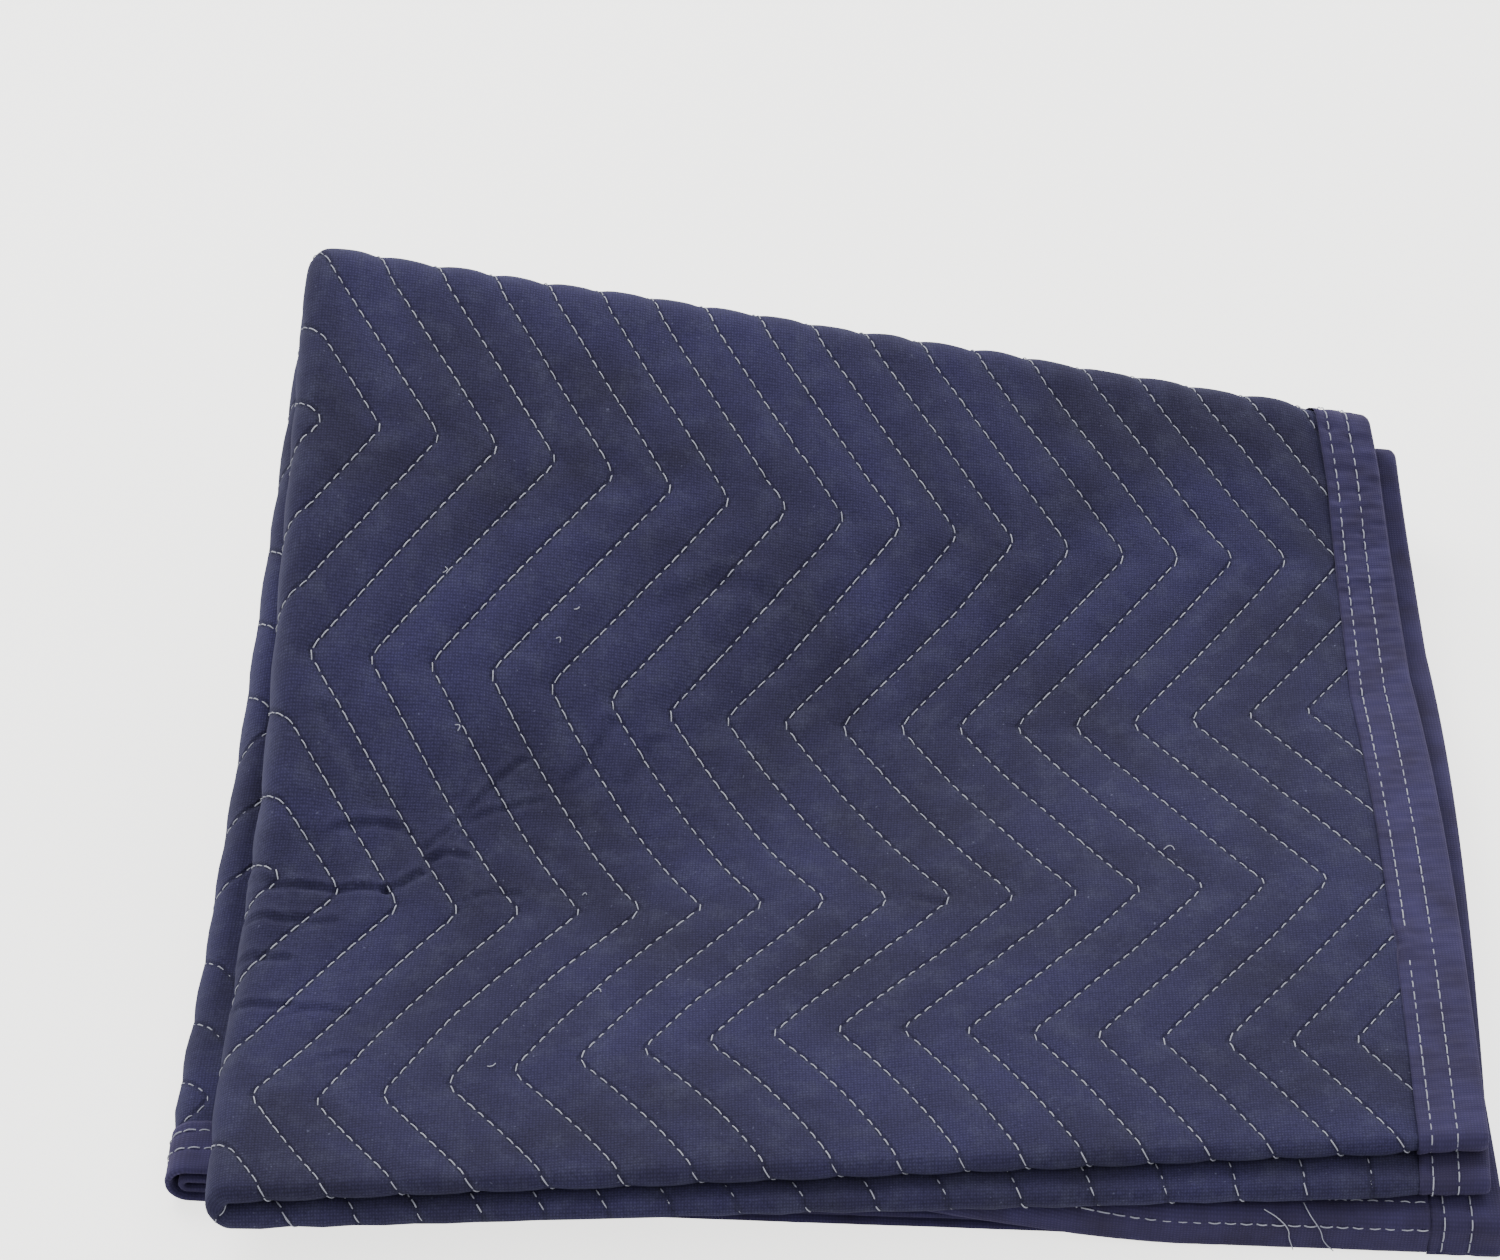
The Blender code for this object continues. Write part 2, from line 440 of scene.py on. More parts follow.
# The quilt's grid, as (place, spacing from there on), finest round the folds and where the creases lie
rim = quilting["rim"]
creaseU, creaseV = 0.378, (0.058, 0.262)
quiltGridU = ((rim, 0.009), (bodyEdge, 0.0032), (creaseU, 0.0016), (foldW - sideArc, 0.0012),
              (foldW + sideArc, 0.012), (sheetWidth - bodyEdge, 0.009), (sheetWidth - rim, 0))
quiltGridV = ((rim, 0.009), (bodyEdge, 0.012), (foldLine - foldFar, 0.0030), (foldLine - foldNear, 0.013),
              (foldLine - frontArc, 0.0009), (foldLine + frontArc, 0.0030), (foldLine + creaseV[0], 0.0017),
              (foldLine + creaseV[1], 0.0032), (foldLine + foldNear, 0.0028), (foldLine + foldFar, 0.0090),
              (sheetLength - 0.032, 0.0026), (sheetLength - rim, 0))
innerHalf = (0.0008, 0.0010)
weaveRow, weaveColumn = foldLine + 0.2, 0.2


def buildQuilt():
    # A fine outer face and a plain inner one, joined round the rim
    uLines, vLines = lines(*quiltGridU), lines(*quiltGridV)
    coarseU = sorted(set(range(0, len(uLines), 4)) | {len(uLines) - 1})
    coarseV = sorted(set(range(0, len(vLines), 3)) | {len(vLines) - 1})
    fine, coarse = sheetPlaces(uLines, vLines), sheetPlaces(uLines[coarseU], vLines[coarseV])
    outer = foldedPoints(*fine.T, outerOffset(*fine.T))
    hidden = foldedPoints(*coarse.T, -(innerHalf[0] + innerHalf[1] * bodyShare(*coarse.T)))
    flat = np.concatenate([fine, coarse])
    weaveU = surfaceDistance(uLines, np.full(len(uLines), weaveRow))
    weaveV = surfaceDistance(np.full(len(vLines), weaveColumn), vLines)
    woven = np.stack([np.interp(flat[:, 0], uLines, weaveU), np.interp(flat[:, 1], vLines, weaveV)], -1)
    nU, nV, first = len(uLines), len(vLines), len(outer)
    mU, mV = len(coarseU), len(coarseV)

    def out(i, j):
        return i * nV + j

    def under(a, b):
        return first + a * mV + b

    faces = [(out(i, j), out(i, j + 1), out(i + 1, j + 1), out(i + 1, j))
             for i in range(nU - 1) for j in range(nV - 1)]
    faces += [(under(a, b), under(a + 1, b), under(a + 1, b + 1), under(a, b + 1))
              for a in range(mU - 1) for b in range(mV - 1)]
    # The rim joins every third or fourth line of the fine side to the plain inner side
    for b in range(mV - 1):
        span = range(coarseV[b], coarseV[b + 1] + 1)
        faces.append([out(0, j) for j in reversed(span)] + [under(0, b), under(0, b + 1)])
        faces.append([out(nU - 1, j) for j in span] + [under(mU - 1, b + 1), under(mU - 1, b)])
    for a in range(mU - 1):
        span = range(coarseU[a], coarseU[a + 1] + 1)
        faces.append([out(i, 0) for i in span] + [under(a + 1, 0), under(a, 0)])
        faces.append([out(i, nV - 1) for i in reversed(span)] + [under(a, mV - 1), under(a + 1, mV - 1)])
    piece = newPiece("quiltedPanel", np.concatenate([outer, hidden]), faces, woven)
    # Which quilting line a point lies by: whole numbers fall on the lines
    place = (flat[:, 0] - quilting["firstLine"] - zigzag(flat[:, 0], flat[:, 1])) / quilting["pitch"]
    seamPlace = piece.data.attributes.new("seamPlace", "FLOAT", "POINT")
    seamPlace.data.foreach_set("value", place.astype(np.float32))
    return piece


def bindingSection():
    # (inward, offset) round the folded tape, the outside first and then the inside
    b = binding
    top = [(b["face"], b["half"] - 0.0001)]
    for inward in (0.0262, 0.0246, 0.0230, 0.0214, b["turn"], 0.0178, 0.0160, 0.0143, 0.0128, 0.0113,
                   0.0094, 0.0075, 0.0055, 0.0035):
        top.append((inward, b["half"]))
    top += [(0.0020, 0.0017), (0.0008, 0.0012), (0.0003, 0.0006)]
    outside = top + [(inward, -offset) for inward, offset in reversed(top)]
    depths = (b["face"], 0.0230, 0.0178, 0.0143, 0.0113, 0.0075, 0.0045, 0.0015)
    inside = [(inward, -0.0011) for inward in depths] + [(0.0012, 0)]
    inside += [(inward, 0.0011) for inward in reversed(depths)]
    return outside, inside


# Unevenness of the tape. Ripples: height, wave number along the tape and phase for each edge
# Gathers beside the stitches: height, spacing, bend, bend's wave number and wave number across the tape
tapeRipples = ((0.00025, 61, 9), (0.0002, 173, 3))
tapeGathers = (
    (0.00015, 0.0124, 0.0, 0, 200),
    (0.00010, 0.0051, 2.9, 57, 150),
    (0.00010, 0.0083, 3.6, 43, -190),
)
tapeDrift, tapeDriftNumber, tapeDriftFrom, tapeEdgeEase = 0.0004, 47, 0.02, 0.004


def buildBinding(name, alongU, edge, stops):
    # One strip of tape, as a row of sections along its edge of the sheet
    b = binding
    outside, inside = bindingSection()
    section = np.array(outside + inside)
    places = lines(*stops)
    inward, offset = section[:, 0], section[:, 1]
    isOuter = np.arange(len(section)) < len(outside)
    rows = []
    flats = []
    for place in places:
        ripple = sum(height * np.sin(place * number + edge * phase) for height, number, phase in tapeRipples)
        dimple = sum(bell(inward, row, b["dimpleReach"]) for row in b["rows"]) * b["dimple"]
        gather = 0
        for height, spacing, bend, bendNumber, slant in tapeGathers:
            bent = place * 2 * math.pi / spacing + bend * np.sin(place * bendNumber) + inward * slant
            gather = gather + height * np.sin(bent)
        drift = tapeDrift * np.sin(place * tapeDriftNumber + edge)
        inn = inward + np.where(isOuter & (inward > tapeDriftFrom), drift, 0)
        if not alongU and edge == 0:
            # A tuck where the inner edge was missed, and the overlapped join of two lengths of tape
            free = isOuter & (inward > b["turn"]) & (offset > 0)
            tuck = bell(place - foldLine, b["tuck"], b["tuckReach"]) * free
            inn = inn - b["tuckDepth"] * tuck * np.clip((inward - b["turn"]) / b["tuckEase"], 0, 1)
            past = place - foldLine - b["join"]
            step = b["joinStep"] * math.exp(-past / b["joinReach"]) if past > 0 else 0
            ripple += b["tuckRise"] * tuck + step
        rise = (ripple - dimple + gather) * np.clip(inward / tapeEdgeEase, 0, 1)
        swell = np.where(isOuter, np.sign(offset) * rise, 0)
        across = np.where(edge > 0, edge - inn, inn)
        here = np.full(len(inn), place)
        us, vs = (here, across) if alongU else (across, here)
        rows.append(foldedPoints(us, vs, resting(us, vs, offset + swell, pressedCloth)))
        flats.append(np.stack([us, vs], -1))
    points = np.concatenate(rows)
    n = len(section)
    faces = [(r * n + k, r * n + (k + 1) % n, (r + 1) * n + (k + 1) % n, (r + 1) * n + k)
             for r in range(len(places) - 1) for k in range(n)]
    faces.append(list(range(n))[::-1])
    faces.append([(len(places) - 1) * n + k for k in range(n)])
    return newPiece(name, points, faces, np.concatenate(flats))


print("quilt")
quilt = buildQuilt()
# The bindings' grids, as (place, spacing from there on). The short ones butt against the long ones
longStops = ((0.0, 0.008), (foldLine - foldFar, 0.0027), (foldLine - foldNear, 0.0050),
             (foldLine - frontArc, 0.0009), (foldLine + frontArc, 0.0013), (foldLine + foldNear, 0.0020),
             (foldLine + foldFar, 0.0030), (sheetLength - 0.032, 0.0022), (sheetLength, 0))
buttEdge = 0.0284
shortStops = ((buttEdge, 0.0050), (foldW - sideArc, 0.0011), (foldW + sideArc, 0.0016),
              (sheetWidth - buttEdge, 0))
print("binding")
bindings = [
    buildBinding("rightBinding", False, 0, longStops),
    buildBinding("innerBinding", False, sheetWidth, longStops),
    buildBinding("hemBinding", True, 0, shortStops),
    buildBinding("bottomBinding", True, sheetLength, shortStops),
]


def addNode(tree, kind, settings=None, links=None):
    # Adds one node, sets its properties and sockets, and links its inputs
    node = tree.nodes.new(kind)
    for key, value in (settings or {}).items():
        if isinstance(key, str) and hasattr(node, key):
            setattr(node, key, value)
        else:
            node.inputs[key].default_value = value
    for key, socket in (links or {}).items():
        tree.links.new(socket, node.inputs[key])
    return node


def seamRun(u, v, offset, side=1):
    # Points along a seam on the outer face, or with side -1 the inner, and the directions away from the cloth
    offset = resting(u, v, offset + stitching["lift"], pressedThread)
    centre = foldedPoints(u, v, side * offset)
    above = foldedPoints(u, v, side * (offset + stitching["normalStep"])) - centre
    return centre, above / np.linalg.norm(above, axis=1, keepdims=True)


def quiltingRuns():
    # Every zigzag line, on the panels that can be seen from some side
    runs = []
    q = quilting
    clear = stitching["clearOfTape"]
    outside = np.arange(foldLine - 0.006, sheetLength - stitching["clearOfEnd"], stitching["pathStep"])
    underFold = np.arange(foldLine - 0.020, foldLine + 0.012, stitching["foldStep"])
    # Each set of lines: where it runs, the least and the greatest u, and the lines' numbers
    for vs, low, high, numbers in ((outside, clear, foldW + 0.050, range(-3, 25)),
                                   (underFold, foldW + 0.010, sheetWidth - clear, range(16, 42))):
        for k in numbers:
            u = q["firstLine"] + k * q["pitch"] + zigzag(np.full(len(vs), 0.25), vs)
            # How far a line strays depends on u itself, so it is worked out again from the last one
            for _ in range(3):
                u = q["firstLine"] + k * q["pitch"] + zigzag(u, vs)
            inside = (u > low) & (u < high)
            for part in np.split(np.arange(len(vs)), np.flatnonzero(np.diff(inside.astype(int))) + 1):
                if len(part) > 3 and inside[part[0]]:
                    runs.append(seamRun(u[part], vs[part], outerOffset(u[part], vs[part])))
    return runs


def bindingRuns():
    # Two rows along each binding; one row was left open at the tuck
    runs = []
    height = binding["half"] - binding["dimple"] + 0.0001
    tuck = foldLine + binding["tuck"]
    step, end = stitching["pathStep"], stitching["tapeEnd"]
    before, after = stitching["openAtTuck"]
    for row in binding["rows"]:
        gap = (tuck + before, tuck + after) if row > binding["turn"] else (tuck, tuck)
        for vs in (np.arange(end, gap[0], step), np.arange(gap[1], sheetLength - end, step)):
            runs.append(seamRun(np.full(len(vs), row), vs, height))
        vs = np.arange(end, sheetLength - end, step)
        runs.append(seamRun(np.full(len(vs), sheetWidth - row), vs, height))
        vs = np.arange(foldLine + 0.010, foldLine + backStart + backArc, step)
        runs.append(seamRun(np.full(len(vs), sheetWidth - row), vs, height, -1))
        for edge in (0, sheetLength):
            us = np.arange(stitching["clearOfEnd"], sheetWidth - stitching["clearOfEnd"], step)
            runs.append(seamRun(us, np.full(len(us), abs(edge - row)), height))
    return runs


def stitchTree():
    # Sets one arc of thread on every stitch of a wire, turned along it and away from the cloth
    tree = bpy.data.node_groups.new("lockstitchRow", "GeometryNodeTree")
    face = tree.interface
    face.new_socket("Geometry", in_out="INPUT", socket_type="NodeSocketGeometry")
    for label, value in (("Stitch Length", stitching["length"]), ("Shown Length", stitching["shown"]),
                         ("Thread Radius", stitching["thickness"] / 2)):
        socket = face.new_socket(label, in_out="INPUT", socket_type="NodeSocketFloat")
        socket.default_value = value
    face.new_socket("Seed", in_out="INPUT", socket_type="NodeSocketInt")
    face.new_socket("Thread", in_out="INPUT", socket_type="NodeSocketMaterial")
    face.new_socket("Geometry", in_out="OUTPUT", socket_type="NodeSocketGeometry")
    given = addNode(tree, "NodeGroupInput")
    curve = addNode(tree, "GeometryNodeMeshToCurve", links={"Mesh": given.outputs["Geometry"]})
    spaced = addNode(tree, "GeometryNodeResampleCurve", {"mode": "LENGTH"},
                     {"Curve": curve.outputs[0], "Length": given.outputs["Stitch Length"]})
    up = addNode(tree, "GeometryNodeInputNamedAttribute", {"data_type": "FLOAT_VECTOR", "Name": "up"})
    tangent = addNode(tree, "GeometryNodeInputTangent")
    turned = addNode(tree, "FunctionNodeAlignRotationToVector", {"axis": "X"}, {"Vector": tangent.outputs[0]})
    stood = addNode(tree, "FunctionNodeAlignRotationToVector", {"axis": "Z", "pivot_axis": "X"},
                    {"Rotation": turned.outputs[0], "Vector": up.outputs["Attribute"]})
    half = addNode(tree, "ShaderNodeMath", {"operation": "MULTIPLY", 1: 0.5},
                   {0: given.outputs["Shown Length"]})
    back = addNode(tree, "ShaderNodeMath", {"operation": "MULTIPLY", 1: -1.0}, {0: half.outputs[0]})
    start = addNode(tree, "ShaderNodeCombineXYZ", {"Z": -0.0007}, {"X": back.outputs[0]})
    middle = addNode(tree, "ShaderNodeCombineXYZ", {"Z": 0.0009})
    end = addNode(tree, "ShaderNodeCombineXYZ", {"Z": -0.0007}, {"X": half.outputs[0]})
    arc = addNode(tree, "GeometryNodeCurveQuadraticBezier", {"Resolution": 4},
                  {"Start": start.outputs[0], "Middle": middle.outputs[0], "End": end.outputs[0]})
    ring = addNode(tree, "GeometryNodeCurvePrimitiveCircle", {"Resolution": 5},
                   {"Radius": given.outputs["Thread Radius"]})
    thread = addNode(tree, "GeometryNodeCurveToMesh", {"Fill Caps": True},
                     {"Curve": arc.outputs[0], "Profile Curve": ring.outputs[0]})
    jitter = addNode(tree, "FunctionNodeRandomValue",
                     {"data_type": "FLOAT_VECTOR", 0: (0.86, 0.9, 0.8), 1: (1.12, 1.15, 1.1)},
                     {"Seed": given.outputs["Seed"]})
    placed = addNode(tree, "GeometryNodeInstanceOnPoints", links={
        "Points": spaced.outputs[0], "Instance": thread.outputs[0],
        "Rotation": stood.outputs[0], "Scale": jitter.outputs[0]})
    real = addNode(tree, "GeometryNodeRealizeInstances", links={0: placed.outputs[0]})
    smooth = addNode(tree, "GeometryNodeSetShadeSmooth", links={0: real.outputs[0]})
    dressed = addNode(tree, "GeometryNodeSetMaterial", links={
        "Geometry": smooth.outputs[0], "Material": given.outputs["Thread"]})
    addNode(tree, "NodeGroupOutput", links={0: dressed.outputs[0]})
    return tree


def buildStitches(name, runs, seed, material):
    # The runs become wires, the node tree puts the thread on them, and the result is kept as a mesh
    edges, first = [], 0
    for centre, _ in runs:
        edges += [(first + k, first + k + 1) for k in range(len(centre) - 1)]
        first += len(centre)
    points, ups = (np.concatenate(part) for part in zip(*runs))
    mesh = bpy.data.meshes.new("seams")
    mesh.from_pydata(points.tolist(), edges, [])
    up = mesh.attributes.new("up", "FLOAT_VECTOR", "POINT")
    up.data.foreach_set("vector", ups.astype(np.float32).ravel())
    seams = bpy.data.objects.new("seams", mesh)
    bpy.context.scene.collection.objects.link(seams)
    modifier = seams.modifiers.new("stitches", "NODES")
    tree = bpy.data.node_groups.get("lockstitchRow") or stitchTree()
    modifier.node_group = tree
    values = {"Stitch Length": stitching["length"], "Shown Length": stitching["shown"],
              "Thread Radius": stitching["thickness"] / 2, "Seed": seed, "Thread": material}
    for socket in tree.interface.items_tree:
        if socket.in_out == "INPUT" and socket.name in values:
            modifier[socket.identifier] = values[socket.name]
    graph = bpy.context.evaluated_depsgraph_get()
    made = bpy.data.meshes.new_from_object(seams.evaluated_get(graph))
    bpy.data.objects.remove(seams, do_unlink=True)
    stitches = bpy.data.objects.new(name, made)
    bpy.context.scene.collection.objects.link(stitches)
    return stitches


# Loose ends of thread: small curls (u, distance from the front fold, length, turn) on the top panel, and two
# tails, as (u, distance in from the hem) points
looseEnds = {
    "radius": 0.00022,
    "curlAngles": (0.0, 1.3, 2.4, 3.2),
    "curlReaches": (1.6, 1, 0.8, 1.1),
    "curlHeights": (0.0002, 0.0008, 0.0007, 0.0002),
    "tailHeight": 0.0005,
    "curls": ((0.115, 0.176, 0.005, 0.2), (0.376, -0.006, 0.005, 1.1), (0.394, 0.060, 0.004, 2.6),
              (0.352, 0.100, 0.004, 0.4), (0.434, 0.318, 0.004, 1.8), (0.376, 0.307, 0.003, 2.4),
              (0.383, 0.291, 0.003, 0.9), (0.361, 0.160, 0.002, 0.0), (0.424, 0.247, 0.004, 1.2)),
    "tails": (
        ((0.914, 0.017), (0.919, 0.015), (0.923, 0.012), (0.924, 0.007), (0.926, 0.001)),
        ((0.929, 0.020), (0.931, 0.016), (0.935, 0.012), (0.937, 0.006), (0.941, 0.001)),
    ),
}


def buildLooseEnds(material):
    paths = []
    for u, run, length, turn in looseEnds["curls"]:
        angles = turn + np.array(looseEnds["curlAngles"])
        us = u + length / 3 * np.cos(angles) * np.array(looseEnds["curlReaches"])
        vs = foldLine + run + length / 3 * np.sin(angles)
        paths.append(foldedPoints(us, vs, outerOffset(us, vs) + np.array(looseEnds["curlHeights"])))
    for path in looseEnds["tails"]:
        u, inward = np.array(path).T
        paths.append(foldedPoints(u, sheetLength - inward, binding["half"] + looseEnds["tailHeight"]))
    curve = bpy.data.curves.new("looseEnds", "CURVE")
    curve.dimensions = "3D"
    curve.bevel_depth = looseEnds["radius"]
    curve.bevel_resolution = 1
    curve.resolution_u = 5
    curve.use_fill_caps = True
    for points in paths:
        spline = curve.splines.new("BEZIER")
        spline.bezier_points.add(len(points) - 1)
        for knot, point in zip(spline.bezier_points, points.tolist()):
            knot.co = point
            knot.handle_left_type = knot.handle_right_type = "AUTO"
    drawn = bpy.data.objects.new("drawnEnds", curve)
    bpy.context.scene.collection.objects.link(drawn)
    graph = bpy.context.evaluated_depsgraph_get()
    made = bpy.data.meshes.new_from_object(drawn.evaluated_get(graph))
    bpy.data.objects.remove(drawn, do_unlink=True)
    ends = bpy.data.objects.new("looseThreads", made)
    bpy.context.scene.collection.objects.link(ends)
    ends.data.materials.clear()
    ends.data.materials.append(material)
    return ends


def linear(code):
    # An sRGB hex colour as linear RGBA
    parts = [int(code[k:k + 2], 16) / 255 for k in (0, 2, 4)]
    return tuple(p / 12.92 if p <= 0.04045 else ((p + 0.055) / 1.055) ** 2.4 for p in parts) + (1.0,)


def newMaterial(name, settings):
    material = bpy.data.materials.new(name)
    material.use_nodes = True
    tree = material.node_tree
    shader = tree.nodes["Principled BSDF"]
    for key, value in settings.items():
        shader.inputs[key].default_value = value
    return material, tree, shader


# Polyester shell, plain woven and brushed: dull, with a fine grain, dusty and rubbed pale in patches
def shellMaterial():
    material, tree, shader = newMaterial("wovenPolyesterShell", {
        "Roughness": 0.95, "Specular IOR Level": 0.25, "Sheen Weight": 0.2, "Sheen Roughness": 0.55,
        "Sheen Tint": linear("9a9cc0")})
    cloth = addNode(tree, "ShaderNodeUVMap", {"uv_map": "cloth"})
    # Threads 1.3 mm apart, drawn coarser than the real ones so that they show
    uneven = {"Distortion": 2.2, "Detail": 1.0, "Detail Scale": 2.0}
    warp = addNode(tree, "ShaderNodeTexWave", {"bands_direction": "X", "Scale": 250.0, **uneven},
                   {"Vector": cloth.outputs[0]})
    weft = addNode(tree, "ShaderNodeTexWave", {"bands_direction": "Y", "Scale": 235.0, **uneven},
                   {"Vector": cloth.outputs[0]})
    weave = addNode(tree, "ShaderNodeMath", {"operation": "MULTIPLY"},
                    {0: warp.outputs["Fac"], 1: weft.outputs["Fac"]})
    slub = addNode(tree, "ShaderNodeTexNoise", {"Scale": 620.0, "Detail": 3.0, "Roughness": 0.7},
                   {"Vector": cloth.outputs[0]})
    patch = addNode(tree, "ShaderNodeTexNoise",
                    {"Scale": 9.0, "Detail": 5.0, "Roughness": 0.62, "Distortion": 0.4},
                    {"Vector": cloth.outputs[0]})
    patchRange = addNode(tree, "ShaderNodeMapRange", {"From Min": 0.38, "From Max": 0.72},
                         {"Value": patch.outputs["Fac"]})
    tone = addNode(tree, "ShaderNodeMix", {"data_type": "RGBA", 6: linear("2a273e"), 7: linear("363256")},
                   {0: patchRange.outputs[0]})
    grain = addNode(tree, "ShaderNodeMath", {"operation": "MULTIPLY_ADD", 1: 0.55, 2: 0.0},
                    {0: weave.outputs[0]})
    grainSum = addNode(tree, "ShaderNodeMath", {"operation": "MULTIPLY_ADD", 1: 0.9},
                       {0: slub.outputs["Fac"], 2: grain.outputs[0]})
    grainRange = addNode(tree, "ShaderNodeMapRange",
                         {"From Min": 0.25, "From Max": 0.95, "To Min": 0.55, "To Max": 1.4},
                         {"Value": grainSum.outputs[0]})
    # Dust in the weave as soft pale clouds, and lint as small pale specks
    cloud = addNode(tree, "ShaderNodeTexNoise", {"Scale": 70.0, "Detail": 6.0, "Roughness": 0.72},
                    {"Vector": cloth.outputs[0]})
    cloudRange = addNode(tree, "ShaderNodeMapRange", {"From Min": 0.48, "From Max": 0.78, "To Max": 0.34},
                         {"Value": cloud.outputs["Fac"]})
    dusty = addNode(tree, "ShaderNodeMix", {"data_type": "RGBA", 7: linear("525468")},
                    {0: cloudRange.outputs[0], 6: tone.outputs[2]})
    speck = addNode(tree, "ShaderNodeTexNoise", {"Scale": 480.0, "Detail": 1.0}, {"Vector": cloth.outputs[0]})
    speckRange = addNode(tree, "ShaderNodeMapRange", {"From Min": 0.73, "From Max": 0.83, "To Max": 0.45},
                         {"Value": speck.outputs["Fac"]})
    linted = addNode(tree, "ShaderNodeMix", {"data_type": "RGBA", 7: linear("767892")},
                     {0: speckRange.outputs[0], 6: dusty.outputs[2]})
    shade = addNode(tree, "ShaderNodeVectorMath", {"operation": "SCALE"},
                    {0: linted.outputs[2], "Scale": grainRange.outputs[0]})
    bump = addNode(tree, "ShaderNodeBump", {"Strength": 0.38, "Distance": 0.0006},
                   {"Height": grainSum.outputs[0]})
    # The thread pulls the cloth into a groove that reaches 1.8 mm to each side of a line
    seam = addNode(tree, "ShaderNodeAttribute", {"attribute_name": "seamPlace"})
    beside = addNode(tree, "ShaderNodeMath", {"operation": "PINGPONG", 1: 0.5}, {0: seam.outputs["Fac"]})
    groove = addNode(tree, "ShaderNodeMapRange", {"interpolation_type": "SMOOTHSTEP", "From Max": 0.085},
                     {"Value": beside.outputs[0]})
    dip = addNode(tree, "ShaderNodeBump", {"Strength": 0.9, "Distance": 0.0009},
                  {"Height": groove.outputs[0], "Normal": bump.outputs[0]})
    tree.links.new(dip.outputs[0], shader.inputs["Normal"])
    # Painted shade: the base colour is darkened along each groove, where shade falls beside the stitching
    grooveShadeRange = addNode(tree, "ShaderNodeMapRange", {"To Min": 0.72, "To Max": 1.0}, {"Value": groove.outputs[0]})
    grooveShadedColour = addNode(tree, "ShaderNodeVectorMath", {"operation": "SCALE"},
                   {0: shade.outputs[0], "Scale": grooveShadeRange.outputs[0]})
    tree.links.new(grooveShadedColour.outputs[0], shader.inputs["Base Color"])
    return material


# Woven polyester tape: denser and smoother than the shell, with ribs along it and a purple cast
def tapeMaterial():
    material, tree, shader = newMaterial("wovenTape", {
        "Roughness": 0.88, "Specular IOR Level": 0.3, "Sheen Weight": 0.3, "Sheen Roughness": 0.5,
        "Sheen Tint": linear("a79cc6")})
    cloth = addNode(tree, "ShaderNodeUVMap", {"uv_map": "cloth"})
    even = {"Scale": 260.0, "Distortion": 0.8, "Detail": 1.0}
    ribs = addNode(tree, "ShaderNodeTexWave", {"bands_direction": "X", **even}, {"Vector": cloth.outputs[0]})
    picks = addNode(tree, "ShaderNodeTexWave", {"bands_direction": "Y", **even}, {"Vector": cloth.outputs[0]})
    weave = addNode(tree, "ShaderNodeMath", {"operation": "MULTIPLY"},
                    {0: ribs.outputs["Fac"], 1: picks.outputs["Fac"]})
    wear = addNode(tree, "ShaderNodeTexNoise", {"Scale": 40.0, "Detail": 5.0, "Roughness": 0.65},
                   {"Vector": cloth.outputs[0]})
    wearRange = addNode(tree, "ShaderNodeMapRange", {"From Min": 0.35, "From Max": 0.7},
                        {"Value": wear.outputs["Fac"]})
    tone = addNode(tree, "ShaderNodeMix", {"data_type": "RGBA", 6: linear("312b48"), 7: linear("3e3861")},
                   {0: wearRange.outputs[0]})
    grainRange = addNode(tree, "ShaderNodeMapRange", {"To Min": 0.8, "To Max": 1.15},
                         {"Value": weave.outputs[0]})
    shade = addNode(tree, "ShaderNodeVectorMath", {"operation": "SCALE"},
                    {0: tone.outputs[2], "Scale": grainRange.outputs[0]})
    tree.links.new(shade.outputs[0], shader.inputs["Base Color"])
    bump = addNode(tree, "ShaderNodeBump", {"Strength": 0.35, "Distance": 0.0004},
                   {"Height": weave.outputs[0]})
    tree.links.new(bump.outputs[0], shader.inputs["Normal"])
    return material


# Spun polyester thread: pale grey, matt, a little lighter than dusty cloth
def threadMaterial():
    material, tree, shader = newMaterial("spunThread", {
        "Roughness": 0.8, "Specular IOR Level": 0.3, "Sheen Weight": 0.2})
    spot = addNode(tree, "ShaderNodeTexCoord")
    dust = addNode(tree, "ShaderNodeTexNoise", {"Scale": 55.0, "Detail": 3.0},
                   {"Vector": spot.outputs["Object"]})
    tone = addNode(tree, "ShaderNodeMix", {"data_type": "RGBA", 6: linear("8f90a4"), 7: linear("c6c7d2")},
                   {0: dust.outputs["Fac"]})
    tree.links.new(tone.outputs[2], shader.inputs["Base Color"])
    return material


print("materials")
shellCloth, tape, thread = shellMaterial(), tapeMaterial(), threadMaterial()
quilt.data.materials.append(shellCloth)
for strip in bindings:
    strip.data.materials.append(tape)
print("stitches")
sewing = [
    buildStitches("quiltingStitches", quiltingRuns(), 7, thread),
    buildStitches("bindingStitches", bindingRuns(), 8, thread),
    buildLooseEnds(thread),
]

for piece in [quilt] + bindings + sewing:
    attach(piece, "root")
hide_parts("quilt")
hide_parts("binding_long_1")
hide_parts("binding_long_2")
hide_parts("binding_short_1")
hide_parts("binding_short_2")

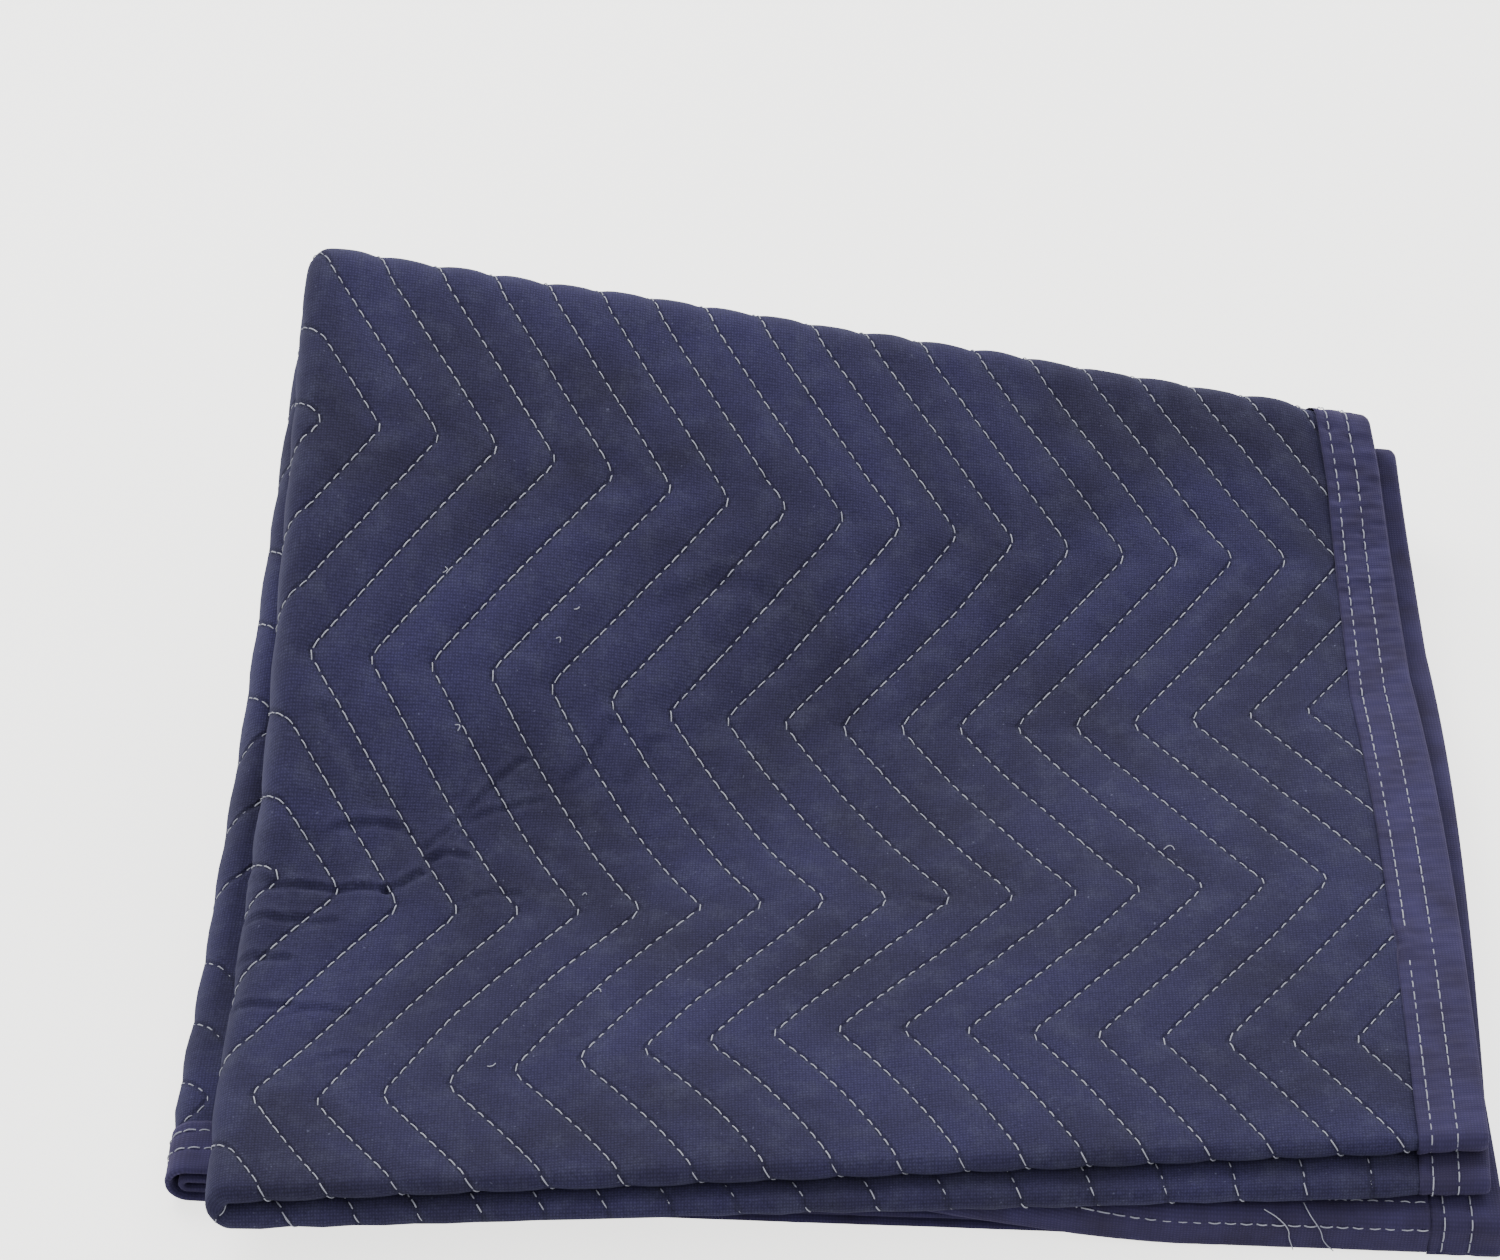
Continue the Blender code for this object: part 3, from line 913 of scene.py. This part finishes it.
# The floor, the light and the camera at the photograph's angle
print("studio")
studio = {
    "floor": "f3f2ef",
    "floorSize": 8,
    "floorLevel": -0.0004,
    "floorGlow": 2.5,
    "pitch": 39.0,
    "yaw": 0.0,
    "lens": 97.8,
    "sensor": 36,
    "camera": (-0.0724, -1.193, 1.1915),
    "sky": 0.80,
    "skyTone": "eceef2",
    "lightAim": (0, 0.1, 0),
}
# Area lights: name, place, size and power
lamps = (
    ("key", (-0.9, 0.9, 1.7), 1.2, 30.0),
    ("fill", (1.3, -0.9, 1.4), 1.6, 9.0),
    ("rim", (0.6, 1.6, 1.1), 1.0, 10.0),
)


def buildStudio():
    bpy.ops.mesh.primitive_plane_add(size=studio["floorSize"], location=(0, 0, studio["floorLevel"]))
    floor = bpy.context.object
    floor.name = "studioFloor"
    floorMaterial, tree, shader = newMaterial("paleFloor", {
        "Base Color": linear(studio["floor"]), "Roughness": 0.9, "Emission Color": linear(studio["floor"])})
    # The photograph's backdrop is plain white, so the floor glows, but to the camera alone
    path = addNode(tree, "ShaderNodeLightPath")
    glow = addNode(tree, "ShaderNodeMath", {"operation": "MULTIPLY", 1: studio["floorGlow"]},
                   {0: path.outputs["Is Camera Ray"]})
    tree.links.new(glow.outputs[0], shader.inputs["Emission Strength"])
    floor.data.materials.append(floorMaterial)
    for name, place, size, power in lamps:
        lamp = bpy.data.lights.new(name, "AREA")
        lamp.size = size
        lamp.energy = power
        holder = bpy.data.objects.new(name, lamp)
        holder.location = place
        aim = Vector(studio["lightAim"]) - Vector(place)
        holder.rotation_euler = aim.to_track_quat("-Z", "Y").to_euler()
        bpy.context.scene.collection.objects.link(holder)
    world = bpy.data.worlds.new("softRoom")
    world.use_nodes = True
    sky = world.node_tree.nodes["Background"]
    sky.inputs["Color"].default_value = linear(studio["skyTone"])
    sky.inputs["Strength"].default_value = studio["sky"]
    bpy.context.scene.world = world
    view = bpy.data.cameras.new("photoView")
    view.lens = studio["lens"]
    view.sensor_width = studio["sensor"]
    view.sensor_fit = "HORIZONTAL"
    camera = bpy.data.objects.new("photoView", view)
    camera.location = studio["camera"]
    camera.rotation_euler = (math.radians(90 - studio["pitch"]), 0, math.radians(studio["yaw"]))
    bpy.context.scene.collection.objects.link(camera)
    bpy.context.scene.camera = camera


buildStudio()
print("done")
